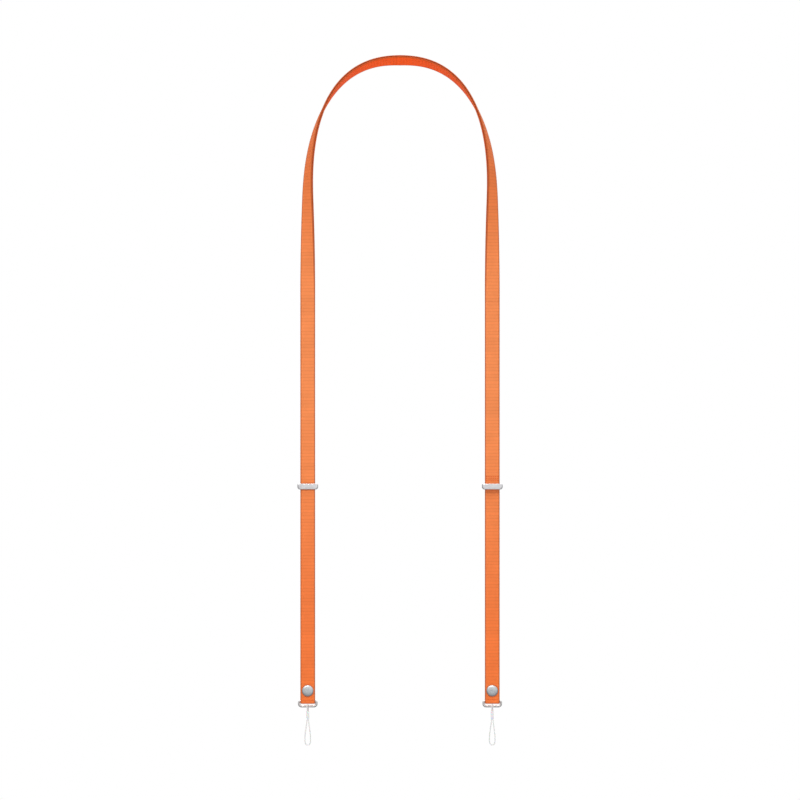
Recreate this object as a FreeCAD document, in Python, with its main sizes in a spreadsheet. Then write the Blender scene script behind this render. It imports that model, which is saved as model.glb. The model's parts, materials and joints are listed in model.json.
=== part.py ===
import FreeCAD, Part
import math
import os
import Sketcher
from FreeCAD import Placement, Rotation, Vector

# A neck lanyard of two equal webbing straps laid together over the neck. Each strap is folded
# round a wire ring at one end, passes through that side's slider, goes over the neck and ends
# sewn round the pin of the other side's slider. A snap button closes each folded end, and a thin
# cord loop hangs from each ring.
#
# +Z is up and -Y is the front. Left and right are as seen from the front, so right is +X. The
# origin is the middle of the straps' underside over the neck, where they rest.

doc = FreeCAD.newDocument("strap_lanyard")

SIZES = [
    ("strap_width", 12.7, "webbing width, half an inch"),
    ("strap_thick", 1.2, "webbing thickness"),
    ("layer_gap", 0.1, "space between the two straps"),
    ("leg_offset", 79.8, "centre plane to the middle of each leg"),
    ("arch_rise", 123.0, "height of the curved arch over the straight legs"),
    ("arch_power", 2.4, "exponent of the arch's rounded outline"),
    ("lean_depth", 46.0, "how far the arch leans back behind the legs"),
    ("apex_twist", 125.0, "degrees the straps turn from the leg to the apex"),
    ("twist_path", 262.0, "length of strap over which they turn, each side"),
    ("twist_power", 1.17, "how the turn is spread along that length"),
    ("slider_drop", 368.7, "apex to the middle of the slider"),
    ("snap_drop", 545.4, "apex to the snap's axis"),
    ("bar_drop", 554.3, "apex to the ring's upper bar"),
    ("flap_length", 17.0, "flap above the ring's upper bar"),
    ("fold_radius", 1.1, "inside radius of the webbing's fold round the ring"),
    ("slider_length", 18.0, "slider frame across the strap"),
    ("slider_height", 5.0, "slider frame along the strap"),
    ("slider_plate", 1.1, "thickness of the slider's front and back plates"),
    ("slider_cheek", 2.1, "thickness of the slider's side walls"),
    ("slider_corner", 1.9, "rounding of the slider's four ends"),
    ("slider_edge", 0.45, "rounding of the slider's outer edges"),
    ("strap_clearance", 0.2, "space between webbing and slider"),
    ("pin_radius", 0.65, "slider pin"),
    ("pin_length", 17.2, "the same, pressed into both side walls"),
    ("pin_fold_radius", 0.75, "inside radius of the webbing's fold round the pin"),
    ("loop_top", 14.0, "top of the sewn loop over the slider's middle"),
    ("tail_top", 9.4, "top of the tail inside the sewn loop"),
    ("seam_gap", 0.05, "space between the loop's two layers where they are sewn"),
    ("ring_width", 17.0, "ring across the strap, outside"),
    ("ring_pitch", 4.5, "distance between the ring's two bars"),
    ("ring_wire", 0.95, "radius of the ring's wire"),
    ("ring_top_corner", 1.2, "bend of the ring's upper corners"),
    ("ring_low_corner", 2.6, "bend of the ring's lower corners"),
    ("cap_radius", 5.0, "snap cap"),
    ("cap_height", 1.75, "dome of the snap cap"),
    ("stem_radius", 1.5, "stems through the webbing"),
    ("stem_hole", 1.65, "holes in the webbing for the stems"),
    ("socket_radius", 4.25, "snap socket"),
    ("socket_mouth", 2.45, "mouth of the snap socket"),
    ("socket_groove", 3.0, "groove for the spring"),
    ("spring_radius", 2.7, "middle of the snap spring's wire"),
    ("spring_wire", 0.2, "radius of the snap spring's wire"),
    ("stud_radius", 3.9, "flanges of the snap stud and post"),
    ("ball_radius", 2.1, "head of the snap stud"),
    ("cord_radius", 0.45, "cord of the loops"),
    ("strand_offset", 0.47, "middle of the neck piece to each strand"),
    ("neck_width", 2.5, "piece that joins the cord's strands, across"),
    ("neck_depth", 1.5, "the same, front to back"),
    ("neck_length", 7.2, "the same, along the cord"),
    ("neck_drop", 3.8, "ring's lower bar to the top of that piece"),
]

sheet = doc.addObject("Spreadsheet::Sheet", "sizes")
for row, (alias, value, note) in enumerate(SIZES, start=1):
    sheet.set(f"A{row}", note)
    sheet.set(f"B{row}", str(value))
    sheet.setAlias(f"B{row}", alias)
doc.recompute()

parts = []


def mm(alias):
    return float(sheet.get(alias))


def bind(thing, **expressions):
    """Bind properties to formulas of the sheet's cells."""
    for name, formula in expressions.items():
        thing.setExpression(name, formula)


def keep(thing, label, placement):
    """Name a finished sub-part, place it and put it on the list of parts to write."""
    thing.Label = label
    thing.Placement = placement
    parts.append(thing)
    return thing


def at(x, y, z, half_turn=False):
    turn = Rotation(Vector(0, 0, 1), 180 if half_turn else 0)
    return Placement(Vector(x, y, z), turn)


# ---------------------------------------------------------------- sketch and feature helpers

def new_body(label):
    return doc.addObject("PartDesign::Body", label + "_body")


def new_sketch(body, plane_role, name):
    sketch = body.newObject("Sketcher::SketchObject", name)
    plane = [f for f in body.Origin.OriginFeatures if f.Role == plane_role][0]
    sketch.AttachmentSupport = [(plane, "")]
    sketch.MapMode = "FlatFace"
    return sketch


def add_outline(sketch, corners):
    """Straight lines through the corners, closed and joined."""
    first = sketch.GeometryCount
    count = len(corners)
    for start, end in zip(corners, corners[1:] + corners[:1]):
        sketch.addGeometry(Part.LineSegment(Vector(*start), Vector(*end)), False)
    for index in range(count):
        after = first + (index + 1) % count
        sketch.addConstraint(Sketcher.Constraint("Coincident", first + index, 2, after, 1))
    return first


def add_dimension(sketch, constraint, formula):
    index = sketch.addConstraint(constraint)
    sketch.setExpression(f"Constraints[{index}]", formula)


def add_rectangle(sketch, width, height, width_formula, height_formula, centred=True):
    """A rectangle about the vertical axis, centred on the origin or standing on it."""
    low = -height / 2 if centred else 0
    left, right, high = -width / 2, width / 2, low + height
    corners = [(left, low, 0), (right, low, 0), (right, high, 0), (left, high, 0)]
    first = add_outline(sketch, corners)
    for line in (first, first + 2):
        sketch.addConstraint(Sketcher.Constraint("Horizontal", line))
    for line in (first + 1, first + 3):
        sketch.addConstraint(Sketcher.Constraint("Vertical", line))
    if centred:
        sketch.addConstraint(Sketcher.Constraint("Symmetric", first, 1, first + 1, 2, -1, 1))
    else:
        sketch.addConstraint(Sketcher.Constraint("Symmetric", first, 1, first, 2, -1, 1))
    across = Sketcher.Constraint("DistanceX", first, 1, first, 2, width)
    add_dimension(sketch, across, width_formula)
    along = Sketcher.Constraint("DistanceY", first + 1, 1, first + 1, 2, height)
    add_dimension(sketch, along, height_formula)


def add_circle(sketch, radius, radius_formula, height=0.0, height_formula=None):
    """A circle on the vertical axis, at the origin or at a height over it."""
    axis = Vector(0, 0, 1)
    circle = sketch.addGeometry(Part.Circle(Vector(0, height, 0), axis, radius), False)
    add_dimension(sketch, Sketcher.Constraint("Radius", circle, radius), radius_formula)
    if height_formula is None:
        sketch.addConstraint(Sketcher.Constraint("Coincident", circle, 3, -1, 1))
        return
    sketch.addConstraint(Sketcher.Constraint("PointOnObject", circle, 3, -2))
    rise = Sketcher.Constraint("DistanceY", -1, 1, circle, 3, height)
    add_dimension(sketch, rise, height_formula)


def pad_both_ways(body, sketch, length_formula):
    pad = body.newObject("PartDesign::Pad", "pad")
    pad.Profile = sketch
    pad.Midplane = True
    bind(pad, Length=length_formula)
    sketch.Visibility = False
    return pad


def revolved_body(label, corners):
    """A body turned about the front-to-back axis, from corners given as (radius, depth)."""
    body = new_body(label)
    sketch = new_sketch(body, "XY_Plane", "section")
    add_outline(sketch, [(radius, depth, 0) for radius, depth in corners])
    turned = body.newObject("PartDesign::Revolution", "turned")
    turned.Profile = sketch
    turned.ReferenceAxis = (sketch, ["V_Axis"])
    turned.Angle = 360
    return body


# ---------------------------------------------------------------- webbing

def webbing_strip(label, placement, length, hole=False):
    """A flat length of webbing standing on its lower end, with an optional snap hole."""
    body = new_body(label)
    sketch = new_sketch(body, "XZ_Plane", "outline")
    width = mm("strap_width")
    height = mm(length)
    add_rectangle(sketch, width, height, "sizes.strap_width", "sizes." + length, centred=False)
    if hole:
        rise = mm("bar_drop") - mm("snap_drop")
        add_circle(sketch, mm("stem_hole"), "sizes.stem_hole", rise, "sizes.bar_drop - sizes.snap_drop")
    pad_both_ways(body, sketch, "sizes.strap_thick")
    keep(body, label, placement)


def ring_fold(label, placement):
    """The half turn of webbing under the ring's upper bar."""
    outer = doc.addObject("Part::Cylinder", "fold_outside")
    bind(outer, Radius="sizes.fold_radius + sizes.strap_thick", Height="sizes.strap_width")
    outer.Angle = 180
    inner = doc.addObject("Part::Cylinder", "fold_inside")
    bind(inner, Radius="sizes.fold_radius", Height="sizes.strap_width")
    fold = doc.addObject("Part::Cut", "fold")
    fold.Base = outer
    fold.Tool = inner
    lying = Rotation(Vector(0, -1, 0), Vector(0, 0, -1), Vector(1, 0, 0), "XYZ")
    shift = Placement(Vector(-mm("strap_width") / 2, 0, 0), lying)
    keep(fold, label, placement.multiply(shift))


def side_step(start, end):
    """Two equal arcs from start to end, both ends upright, in a (depth, height) plane."""
    across = end[0] - start[0]
    down = start[1] - end[1]
    radius = (across ** 2 + down ** 2) / (4 * abs(across))
    half_turn = math.atan2(abs(across), down)
    way = math.copysign(1, across)
    sag = radius * (1 - math.cos(half_turn))
    fall = radius * math.sin(half_turn)
    middle = ((start[0] + end[0]) / 2, (start[1] + end[1]) / 2)
    first = (start, (start[0] + way * sag, start[1] - fall), middle)
    second = (middle, (end[0] - way * sag, end[1] + fall), end)
    return [first, second]


def slider_loop(label, placement):
    """The strap's sewn end: down over its own tail, round the slider's pin and up again."""
    layer = (mm("layer_gap") + mm("strap_thick")) / 2
    over_tail = layer + mm("strap_thick") + mm("seam_gap")
    pin_depth = mm("layer_gap") / 2 + mm("strap_thick") + mm("pin_fold_radius")
    turn = mm("pin_fold_radius") + mm("strap_thick") / 2
    top, tail_top = mm("loop_top"), mm("tail_top")
    lead, spare, seam_end = 0.8, 0.9, 4.2
    lines = [
        ((layer, top), (layer, top - lead)),
        ((over_tail, tail_top + spare), (over_tail, seam_end)),
        ((pin_depth + turn, lead), (pin_depth + turn, 0)),
        ((layer, 0), (layer, tail_top)),
    ]
    bends = side_step(lines[0][1], lines[1][0]) + side_step(lines[1][1], lines[2][0])
    bends.append((lines[2][1], (pin_depth, -turn), lines[3][0]))
    body = new_body(label)
    path = new_sketch(body, "YZ_Plane", "path")
    order = [lines[0], bends[0], bends[1], lines[1], bends[2], bends[3], lines[2], bends[4], lines[3]]
    for run in order:
        points = [Vector(depth, height, 0) for depth, height in run]
        edge = Part.LineSegment(*points) if len(points) == 2 else Part.Arc(*points)
        path.addGeometry(edge, False)
    section = new_sketch(body, "XY_Plane", "section")
    section.AttachmentOffset = Placement(Vector(0, layer, top), Rotation())
    width, thick = mm("strap_width"), mm("strap_thick")
    add_rectangle(section, width, thick, "sizes.strap_width", "sizes.strap_thick")
    pipe = body.newObject("PartDesign::AdditivePipe", "pipe")
    pipe.Profile = section
    pipe.Spine = path
    keep(body, label, placement)


def slider_stitching(label, placement):
    """Three rows of short stitches standing proud of the sewn loop, one solid each."""
    length, height, proud = 1.3, 0.35, 0.22
    columns, rows = 6, 3
    pitch_x, pitch_z, lowest = 1.9, 1.7, 5.1
    face = mm("layer_gap") / 2 + 2 * mm("strap_thick") + mm("seam_gap")
    stitches = []
    for row in range(rows):
        for column in range(columns):
            x = (column - (columns - 1) / 2) * pitch_x - length / 2
            corner = Vector(x, face, lowest + row * pitch_z)
            stitches.append(Part.makeBox(length, proud, height, corner))
    group = doc.addObject("Part::Feature", "stitches")
    group.Shape = Part.makeCompound(stitches)
    keep(group, label, placement)


class Arch:
    """The line between the two straps over the neck, and how the straps turn along it."""

    steps = 400
    stations = 22
    # The stations between which each length of strap runs, from the left leg to the right one.
    lengths_of_strap = (
        ("left_side", -22, -12),
        ("left_shoulder", -12, -4),
        ("neck", -4, 4),
        ("right_shoulder", 4, 12),
        ("right_side", 12, 22),
    )

    def __init__(self):
        self.depth_scale = mm("lean_depth")
        twist = math.radians(mm("apex_twist"))
        self.up = Vector(0, -math.cos(twist), math.sin(twist))
        self.apex = self.up * (mm("strap_thick") + mm("layer_gap") / 2)
        self.points, self.lengths = self.half_line()

    def half_line(self):
        """Points from the apex down one side, with their distances along the line."""
        span, rise, power = mm("leg_offset"), mm("arch_rise"), mm("arch_power")
        points = []
        for step in range(self.steps + 1):
            angle = math.pi / 2 * step / self.steps
            x = span * math.sin(angle) ** (2 / power)
            height = rise * max(math.cos(angle), 0.0) ** (2 / power)
            y = self.depth_scale * ((height / rise) ** 2 - 1)
            points.append(self.apex + Vector(x, y, height - rise))
        lengths = [0.0]
        for before, after in zip(points, points[1:]):
            lengths.append(lengths[-1] + before.distanceToPoint(after))
        leg = mm("twist_path") - lengths[-1]
        points.append(points[-1] - Vector(0, 0, leg))
        lengths.append(mm("twist_path"))
        return points, lengths

    def leg_depth(self):
        return self.points[-1].y

    def leg_top(self):
        return self.points[-1].z

    def place(self, distance):
        """The point that lies this far from the apex, negative on the -X side."""
        side = math.copysign(1, distance)
        along = min(abs(distance), self.lengths[-1])
        index = 1
        while self.lengths[index] < along:
            index += 1
        before, after = self.points[index - 1], self.points[index]
        share = (along - self.lengths[index - 1]) / (self.lengths[index] - self.lengths[index - 1])
        point = before + (after - before) * share
        return Vector(side * point.x, point.y, point.z)

    def frame(self, distance):
        """Point, outward normal and width direction of the straps at a distance."""
        reach = 0.5
        end = mm("twist_path")
        low = max(distance - reach, -end)
        high = min(distance + reach, end)
        along = (self.place(high) - self.place(low)).normalize()
        front = Vector(0, -1, 0)
        front = (front - along * front.dot(along)).normalize()
        outward = front.cross(along)
        share = (abs(distance) / end) ** mm("twist_power")
        angle = math.radians(mm("apex_twist")) * (1 - share)
        normal = front * math.cos(angle) + outward * math.sin(angle)
        return self.place(distance), normal, along.cross(normal)

    def layer(self, strap, near, far):
        """One strap over the neck, between two distances out from the middle line."""
        for name, first, last in self.lengths_of_strap:
            self.strap_length(f"{strap}_{name}", first, last, near, far)

    def strap_length(self, label, first, last, near, far):
        half = mm("strap_width") / 2
        sections = []
        for station in range(first, last + 1):
            distance = mm("twist_path") * station / self.stations
            point, normal, across = self.frame(distance)
            corners = [
                point + normal * near - across * half,
                point + normal * near + across * half,
                point + normal * far + across * half,
                point + normal * far - across * half,
            ]
            sections.append(Part.makePolygon(corners + corners[:1]))
        strap = doc.addObject("Part::Feature", "strap_over_neck")
        strap.Shape = Part.makeLoft(sections, True, True)
        keep(strap, label, at(0, 0, 0))


# ---------------------------------------------------------------- slider

def slider_frame(label, placement):
    """A closed flat metal loop round both straps, with holes for the pin in its side walls."""
    depth = ("(2 * (sizes.slider_plate + sizes.strap_clearance) + sizes.layer_gap"
             " + 3 * sizes.strap_thick + 2 * sizes.pin_fold_radius)")
    plate, clearance, thick = mm("slider_plate"), mm("strap_clearance"), mm("strap_thick")
    inner_depth = 2 * clearance + mm("layer_gap") + 3 * thick + 2 * mm("pin_fold_radius")
    front = -mm("layer_gap") / 2 - thick - clearance
    middle = front + inner_depth / 2
    length = mm("slider_length")
    body = new_body(label)
    outline = new_sketch(body, "XY_Plane", "outline")
    outline.AttachmentOffset = Placement(Vector(0, middle, 0), Rotation())
    add_rectangle(outline, length, inner_depth + 2 * plate, "sizes.slider_length", depth)
    inside = length - 2 * mm("slider_cheek")
    add_rectangle(outline, inside, inner_depth, "sizes.slider_length - 2 * sizes.slider_cheek",
                  depth + " - 2 * sizes.slider_plate")
    pad = pad_both_ways(body, outline, "sizes.slider_height")
    doc.recompute()
    ends = [f"Edge{number}" for number, edge in enumerate(pad.Shape.Edges, start=1)
            if is_frame_end(edge, length / 2)]
    rounded = body.newObject("PartDesign::Fillet", "rounded_ends")
    rounded.Base = (pad, ends)
    bind(rounded, Radius="sizes.slider_corner")
    doc.recompute()
    faces = (front - plate, front + inner_depth + plate)
    rims = [f"Edge{number}" for number, edge in enumerate(rounded.Shape.Edges, start=1)
            if lies_on_depth(edge, faces)]
    softened = body.newObject("PartDesign::Fillet", "softened_edges")
    softened.Base = (rounded, rims)
    bind(softened, Radius="sizes.slider_edge")
    pin_depth = mm("layer_gap") / 2 + thick + mm("pin_fold_radius")
    cross = new_sketch(body, "YZ_Plane", "pin_section")
    cross.AttachmentOffset = Placement(Vector(pin_depth, 0, 0), Rotation())
    add_circle(cross, mm("pin_radius"), "sizes.pin_radius")
    hole = body.newObject("PartDesign::Pocket", "pin_holes")
    hole.Profile = cross
    hole.Midplane = True
    bind(hole, Length="sizes.pin_length")
    keep(body, label, placement)


def is_frame_end(edge, half_length):
    """True for the four front-to-back edges at the frame's outer ends."""
    start, end = edge.Vertexes[0].Point, edge.Vertexes[-1].Point
    upright = abs(start.x - end.x) < 1e-6 and abs(start.z - end.z) < 1e-6
    return upright and abs(abs(start.x) - half_length) < 1e-6


def lies_on_depth(edge, depths):
    """True if an edge lies in the outer face of the front plate or of the back plate."""
    box = edge.BoundBox
    return any(abs(box.YMin - depth) < 1e-4 and abs(box.YMax - depth) < 1e-4 for depth in depths)


def slider_pin(label, placement):
    pin = doc.addObject("Part::Cylinder", "pin")
    bind(pin, Radius="sizes.pin_radius", Height="sizes.pin_length")
    pin_depth = mm("layer_gap") / 2 + mm("strap_thick") + mm("pin_fold_radius")
    start = Vector(-mm("pin_length") / 2, pin_depth, 0)
    lying = Placement(start, Rotation(Vector(0, 1, 0), 90))
    keep(pin, label, placement.multiply(lying))


# ---------------------------------------------------------------- ring

def ring(label, placement):
    """A bent wire ring: a straight upper bar with tight corners and a rounder lower bar."""
    half = mm("ring_width") / 2 - mm("ring_wire")
    pitch = mm("ring_pitch")
    top, low = mm("ring_top_corner"), mm("ring_low_corner")
    slant = math.sqrt(0.5)
    right_side = [
        ((0, 0), (half - top, 0)),
        ((half - top, 0), (half - top + top * slant, -top + top * slant), (half, -top)),
        ((half, -top), (half, low - pitch)),
        ((half, low - pitch), (half - low + low * slant, low - pitch - low * slant),
         (half - low, -pitch)),
        ((half - low, -pitch), (0, -pitch)),
    ]
    left_side = [[(-x, z) for x, z in reversed(run)] for run in reversed(right_side)]
    body = new_body(label)
    path = new_sketch(body, "XZ_Plane", "path")
    for run in right_side + left_side:
        points = [Vector(x, z, 0) for x, z in run]
        edge = Part.LineSegment(*points) if len(points) == 2 else Part.Arc(*points)
        path.addGeometry(edge, False)
    section = new_sketch(body, "YZ_Plane", "section")
    add_circle(section, mm("ring_wire"), "sizes.ring_wire")
    pipe = body.newObject("PartDesign::AdditivePipe", "pipe")
    pipe.Profile = section
    pipe.Spine = path
    keep(body, label, placement)


# ---------------------------------------------------------------- snap button
# Depths are measured from the front of the webbing: the leg's layer, then the gap of the fold
# round the ring, then the flap's layer.

def snap_cap(label, placement):
    """A plain dome with a stem through the leg, rolled over inside the socket."""
    radius, dome, stem = mm("cap_radius"), mm("cap_height"), mm("stem_radius")
    end = mm("strap_thick") + 0.55
    rim = 0.35
    body = new_body(label)
    sketch = new_sketch(body, "XY_Plane", "section")
    corners = [(0, -dome), (radius, -rim), (radius, 0), (stem, 0), (stem, end - 0.15),
               (stem + 0.35, end - 0.15), (stem + 0.35, end), (0, end)]
    count = len(corners)
    shoulder = Vector(radius * 0.72, -rim - (dome - rim) * 0.64, 0)
    sketch.addGeometry(Part.Arc(Vector(*corners[0], 0), shoulder, Vector(*corners[1], 0)), False)
    for index in range(1, count):
        start, finish = corners[index], corners[(index + 1) % count]
        sketch.addGeometry(Part.LineSegment(Vector(*start, 0), Vector(*finish, 0)), False)
    turned = body.newObject("PartDesign::Revolution", "turned")
    turned.Profile = sketch
    turned.ReferenceAxis = (sketch, ["V_Axis"])
    turned.Angle = 360
    keep(body, label, placement)


def snap_socket(label, placement):
    """A ring on the back of the leg that takes the stud, with a groove for its spring."""
    outside, mouth, groove = mm("socket_radius"), mm("socket_mouth"), mm("socket_groove")
    stem = mm("stem_radius") + 0.03
    base = mm("strap_thick")
    floor, groove_low, groove_high, lip = base + 0.4, base + 0.7, base + 1.2, base + 1.4
    corners = [(stem, base), (outside, base), (outside, lip - 0.3), (outside - 0.3, lip),
               (mouth, lip), (mouth, groove_high), (groove, groove_high), (groove, groove_low),
               (mouth, groove_low), (mouth, floor), (stem, floor)]
    keep(revolved_body(label, corners), label, placement)


def snap_spring(label, placement):
    """A split wire spring in the socket's groove, which grips the stud."""
    spring = doc.addObject("Part::Torus", "spring")
    bind(spring, Radius1="sizes.spring_radius", Radius2="sizes.spring_wire")
    spring.Angle3 = 315
    facing = Placement(Vector(0, mm("strap_thick") + 0.95, 0), Rotation(Vector(1, 0, 0), 90))
    keep(spring, label, placement.multiply(facing))


def snap_stud(label, placement):
    """A headed stud on the inside of the flap, its head in the socket."""
    flap = mm("strap_thick") + 2 * mm("fold_radius")
    flange, head, neck = mm("stud_radius"), mm("ball_radius"), mm("ball_radius") - 0.35
    tip = mm("strap_thick") + 0.75
    seat = flap - 0.4
    corners = [(0, tip), (head - 0.4, tip), (head, tip + 0.3), (head, tip + 0.5),
               (neck, seat - 0.2), (neck, seat), (flange - 0.2, seat), (flange, seat + 0.15),
               (flange, flap), (0, flap)]
    keep(revolved_body(label, corners), label, placement)


def snap_post(label, placement):
    """The stud's post: a tube through the flap with a rounded flange behind it."""
    inner_face = mm("strap_thick") + 2 * mm("fold_radius")
    outer_face = inner_face + mm("strap_thick")
    stem, flange, bore = mm("stem_radius"), mm("stud_radius"), mm("stem_radius") - 0.5
    corners = [(bore, inner_face), (stem, inner_face), (stem, outer_face), (flange, outer_face),
               (flange - 0.15, outer_face + 0.35), (flange - 0.7, outer_face + 0.6),
               (bore + 0.5, outer_face + 0.6), (bore, outer_face + 0.25)]
    keep(revolved_body(label, corners), label, placement)


# ---------------------------------------------------------------- cord loop

# The cord's route below the middle of the ring's lower bar, in mm: it starts inside the neck
# piece, goes up and over the bar, comes back through the neck, and hangs as a long drop shape.
CORD_ROUTE = [
    (-0.47, 0.0, -6.9),
    (-0.47, 0.0, -4.1),
    (-0.30, -1.5, -1.5),
    (-0.12, -1.5, 1.5),
    (0.12, 1.5, 1.5),
    (0.30, 1.5, -1.5),
    (0.47, 0.0, -4.1),
    (0.47, 0.0, -11.2),
    (1.45, 0.0, -18.0),
    (2.50, 0.0, -26.0),
    (2.30, 0.0, -33.45),
    (-2.30, 0.0, -33.45),
    (-2.50, 0.0, -26.0),
    (-1.45, 0.0, -18.0),
    (-0.47, 0.0, -11.2),
    (-0.47, 0.0, -7.3),
]


def cord_path(route):
    """Straight runs joined by tangent arcs, each as large as its two runs allow."""
    corners = [Vector(*point) for point in route]
    edges, radii = [], []
    start = corners[0]
    for before, corner, after in zip(corners, corners[1:], corners[2:]):
        back, ahead = before - corner, after - corner
        trim = 0.45 * min(back.Length, ahead.Length)
        back.normalize()
        ahead.normalize()
        half_turn = (math.pi - back.getAngle(ahead)) / 2
        radius = trim / math.tan(half_turn)
        radii.append(radius)
        inward = (back + ahead).normalize()
        middle = corner + inward * (radius / math.cos(half_turn) - radius)
        edges.append(Part.LineSegment(start, corner + back * trim).toShape())
        edges.append(Part.Arc(corner + back * trim, middle, corner + ahead * trim).toShape())
        start = corner + ahead * trim
    edges.append(Part.LineSegment(start, corners[-1]).toShape())
    return Part.Wire(edges), radii


def cord_loop(label, placement):
    radius = mm("cord_radius")
    path, radii = cord_path(CORD_ROUTE)
    start = Vector(*CORD_ROUTE[0])
    heading = Vector(*CORD_ROUTE[1]) - start
    section = Part.Wire(Part.makeCircle(radius, start, heading))
    cord = doc.addObject("Part::Feature", "cord")
    cord.Shape = path.makePipeShell([section], True, False)
    expected = math.pi * radius ** 2 * path.Length
    print(f"{label}: length {path.Length:.1f} mm, tightest arcs {sorted(radii)[:3]},"
          f" volume {cord.Shape.Volume / expected:.3f} of section times length")
    keep(cord, label, placement)


def cord_neck(label, placement):
    """A small moulded piece that holds the cord's two strands side by side."""
    width, depth, length = mm("neck_width"), mm("neck_depth"), mm("neck_length")
    block = doc.addObject("Part::Box", "neck_block")
    bind(block, Length="sizes.neck_width", Width="sizes.neck_depth", Height="sizes.neck_length")
    block.Placement = at(-width / 2, -depth / 2, -mm("neck_drop") - length)
    doc.recompute()
    rounded = doc.addObject("Part::Fillet", "neck_rounded")
    rounded.Base = block
    upright = [number for number, edge in enumerate(block.Shape.Edges, start=1)
               if edge.BoundBox.ZLength > length / 2]
    corner = 0.6
    rounded.Edges = [(number, corner, corner) for number in upright]
    solid = rounded
    for strand in (-1, 1):
        tube = doc.addObject("Part::Cylinder", "strand_hole")
        bind(tube, Radius="sizes.cord_radius", Height="sizes.neck_length + 2")
        tube.Placement = at(strand * mm("strand_offset"), 0, -mm("neck_drop") - length - 1)
        bored = doc.addObject("Part::Cut", "neck_bored")
        bored.Base = solid
        bored.Tool = tube
        solid = bored
    keep(solid, label, placement)


# ---------------------------------------------------------------- the whole lanyard

arch = Arch()
arch.layer("left_strap", mm("layer_gap") / 2, mm("layer_gap") / 2 + mm("strap_thick"))
arch.layer("right_strap", -mm("layer_gap") / 2 - mm("strap_thick"), -mm("layer_gap") / 2)

leg_depth, leg_top = arch.leg_depth(), arch.leg_top()
next_row = len(SIZES) + 1
for alias, value in (("leg_length", leg_top + mm("bar_drop")),
                     ("far_leg_length", leg_top + mm("slider_drop") - mm("loop_top"))):
    sheet.set(f"A{next_row}", "worked out from the arch")
    sheet.set(f"B{next_row}", str(value))
    sheet.setAlias(f"B{next_row}", alias)
    next_row += 1
doc.recompute()

layer = (mm("layer_gap") + mm("strap_thick")) / 2
# The left strap lies outside the right one, so it is the front layer on both legs.
for side, other, x, own_layer in (("left", "right", -mm("leg_offset"), -layer),
                                  ("right", "left", mm("leg_offset"), layer)):
    own_depth = leg_depth + own_layer
    front_face = own_depth - mm("strap_thick") / 2
    bar_depth = own_depth + mm("strap_thick") / 2 + mm("fold_radius")
    flap_depth = bar_depth + mm("fold_radius") + mm("strap_thick") / 2
    bar_height = -mm("bar_drop")
    slider_height = -mm("slider_drop")

    webbing_strip(f"{side}_strap_leg", at(x, own_depth, bar_height), "leg_length", hole=True)
    webbing_strip(f"{side}_strap_flap", at(x, flap_depth, bar_height), "flap_length", hole=True)
    ring_fold(f"{side}_strap_ring_fold", at(x, bar_depth, bar_height))
    far_place = at(x, leg_depth - own_layer, slider_height + mm("loop_top"))
    webbing_strip(f"{other}_strap_far_leg", far_place, "far_leg_length")

    slider_place = at(x, leg_depth, slider_height, half_turn=(side == "right"))
    slider_loop(f"{other}_strap_slider_loop", slider_place)
    slider_stitching(f"{side}_slider_stitching", slider_place)
    slider_frame(f"{side}_slider_frame", slider_place)
    slider_pin(f"{side}_slider_pin", slider_place)

    ring(f"{side}_ring", at(x, bar_depth, bar_height))
    snap_place = at(x, front_face, -mm("snap_drop"))
    snap_cap(f"{side}_snap_cap", snap_place)
    snap_socket(f"{side}_snap_socket", snap_place)
    snap_spring(f"{side}_snap_spring", snap_place)
    snap_stud(f"{side}_snap_stud", snap_place)
    snap_post(f"{side}_snap_post", snap_place)

    cord_place = at(x, bar_depth, bar_height - mm("ring_pitch"))
    cord_loop(f"{side}_cord_loop", cord_place)
    cord_neck(f"{side}_cord_neck", cord_place)

doc.recompute()

for thing in doc.Objects:
    if "Invalid" in thing.State or "Error" in thing.State:
        raise RuntimeError(f"{thing.Label} failed: {thing.State}")
os.makedirs("parts", exist_ok=True)
for thing in parts:
    if thing.Shape.isNull() or not thing.Shape.isValid() or not thing.Shape.Solids:
        raise RuntimeError(f"{thing.Label} has no valid solid")
    thing.Shape.exportStep(f"parts/{thing.Label}.step")
    box = thing.Shape.BoundBox
    print(f"{thing.Label}: {thing.Shape.Volume:.1f} mm3, {len(thing.Shape.Solids)} solid(s),"
          f" X {box.XMin:.1f} to {box.XMax:.1f}, Y {box.YMin:.1f} to {box.YMax:.1f},"
          f" Z {box.ZMin:.1f} to {box.ZMax:.1f}")
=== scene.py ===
import json
import math
from bisect import bisect_right

import bmesh
import bpy
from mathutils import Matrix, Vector


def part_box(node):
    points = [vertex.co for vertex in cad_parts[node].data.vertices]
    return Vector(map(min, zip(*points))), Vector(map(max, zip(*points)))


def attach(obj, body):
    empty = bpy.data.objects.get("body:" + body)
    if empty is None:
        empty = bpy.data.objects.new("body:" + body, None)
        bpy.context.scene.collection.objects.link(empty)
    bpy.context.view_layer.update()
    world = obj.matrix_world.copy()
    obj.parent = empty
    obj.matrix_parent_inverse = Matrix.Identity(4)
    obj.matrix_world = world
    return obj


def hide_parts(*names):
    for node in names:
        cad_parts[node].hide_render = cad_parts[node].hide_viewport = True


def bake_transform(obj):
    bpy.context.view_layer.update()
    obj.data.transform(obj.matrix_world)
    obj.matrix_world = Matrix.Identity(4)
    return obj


# A neck lanyard of two orange webbing straps, each with a slider, a snap button, a wire ring and
# a thin cord loop. Everything is in metres, with +Z up and -Y the front.

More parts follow.
